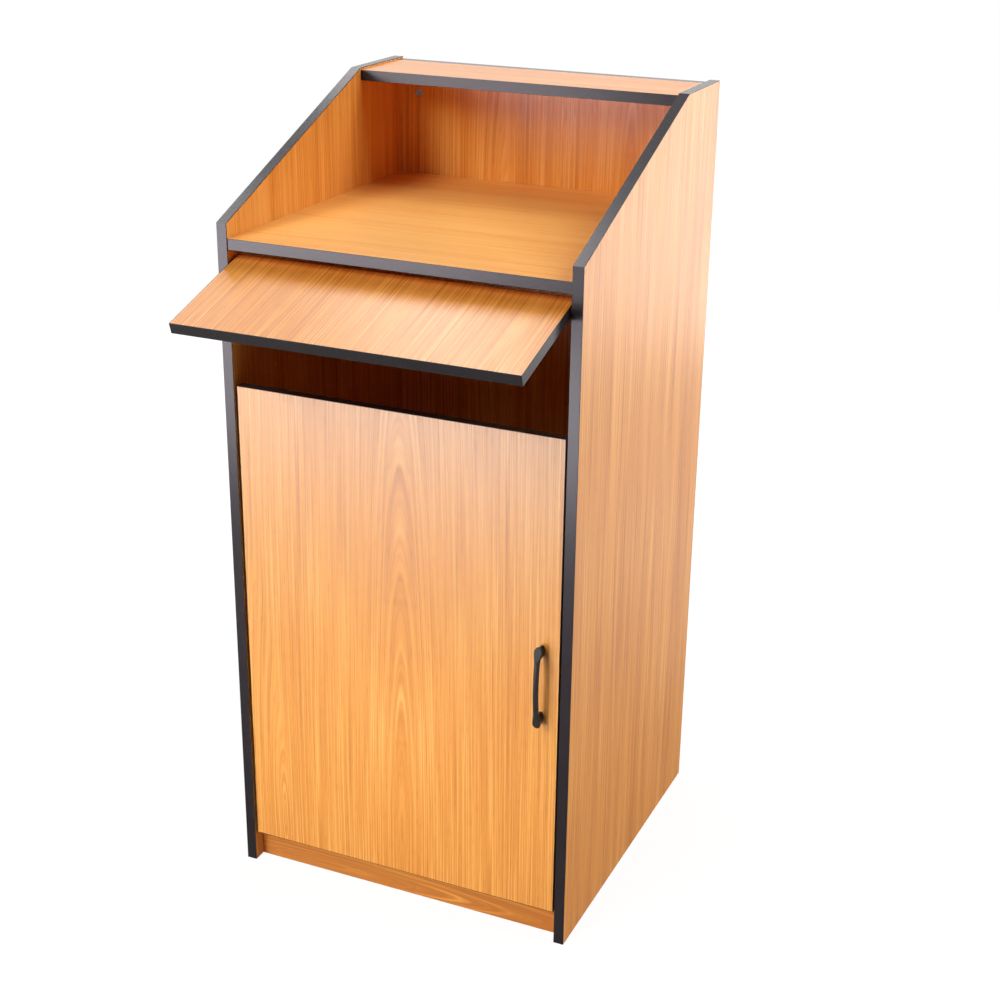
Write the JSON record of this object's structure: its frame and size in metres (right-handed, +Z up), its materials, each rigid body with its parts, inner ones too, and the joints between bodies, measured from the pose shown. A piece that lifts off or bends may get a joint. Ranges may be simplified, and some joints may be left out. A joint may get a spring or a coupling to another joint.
{
  "type": "waste bin cabinet",
  "caption": "Free-standing board cabinet that hides a waste bin: worktop between sloped sides, swing-out waste flap over an open mouth, hinged front door with a bow handle, recessed plinth.",
  "frame": {"origin": "on the floor, under the middle of the part's box with the flap standing open as pictured", "axes": "+Z up, -Y towards the front with the door and the flap, +X to the viewer's right"},
  "size_m": [0.5, 0.6352, 1.0933],
  "materials": {
    "board": "satin laminate with wood grain",
    "wood_edging": "satin wood-coloured edge band",
    "dark_edging": "satin charcoal edge band",
    "steel": "zinc plated",
    "handle": "satin black",
    "bush": "plain black plastic"
  },
  "bodies": {
    "carcass": {"left_side_panel": "board", "right_side_panel": "board", "worktop": "board", "top_panel": "board", "back_panel": "board", "bottom_panel": "board", "plinth": "board", "left_side_edging": "dark_edging", "right_side_edging": "dark_edging", "worktop_edging": "dark_edging", "top_panel_edging": "dark_edging", "back_panel_edging": "dark_edging", "bottom_panel_edging": "wood_edging", "flap_bush_left": "bush", "flap_bush_right": "bush", "hinge_arm_lower": "steel", "hinge_arm_upper": "steel", "hinge_plate_lower": "steel", "hinge_plate_upper": "steel", "back_upper_cam_left": "steel", "back_upper_cam_right": "steel", "back_lower_cam_left": "steel", "back_lower_cam_right": "steel", "top_cam_left": "steel", "top_cam_right": "steel", "worktop_front_cam_left": "steel", "worktop_front_cam_right": "steel", "worktop_rear_cam_left": "steel", "worktop_rear_cam_right": "steel", "bottom_front_cam_left": "steel", "bottom_front_cam_right": "steel", "bottom_rear_cam_left": "steel", "bottom_rear_cam_right": "steel", "back_upper_bolt_left": "steel", "back_upper_bolt_right": "steel", "back_lower_bolt_left": "steel", "back_lower_bolt_right": "steel", "top_bolt_left": "steel", "top_bolt_right": "steel", "worktop_front_bolt_left": "steel", "worktop_front_bolt_right": "steel", "worktop_rear_bolt_left": "steel", "worktop_rear_bolt_right": "steel", "bottom_front_bolt_left": "steel", "bottom_front_bolt_right": "steel", "bottom_rear_bolt_left": "steel", "bottom_rear_bolt_right": "steel"},
    "flap": {"flap_panel": "board", "flap_edging": "dark_edging", "flap_pin_left": "steel", "flap_pin_right": "steel"},
    "door": {"door_panel": "board", "door_edging": "dark_edging", "door_handle": "handle", "handle_screw_lower": "steel", "handle_screw_upper": "steel", "hinge_cup_lower": "steel", "hinge_cup_upper": "steel"}
  },
  "joints": [
    {"name": "flap_swing", "type": "hinge", "parent": "carcass", "child": "flap", "pos_m": [0, -0.16817, 0.8909], "axis": [-1, 0, 0], "range_deg": [-165, 65]},
    {"name": "door_swing", "type": "hinge", "parent": "carcass", "child": "door", "pos_m": [-0.2325, -0.17542, 0.388], "axis": [0, 0, -1], "range_deg": [0, 100]}
  ]
}
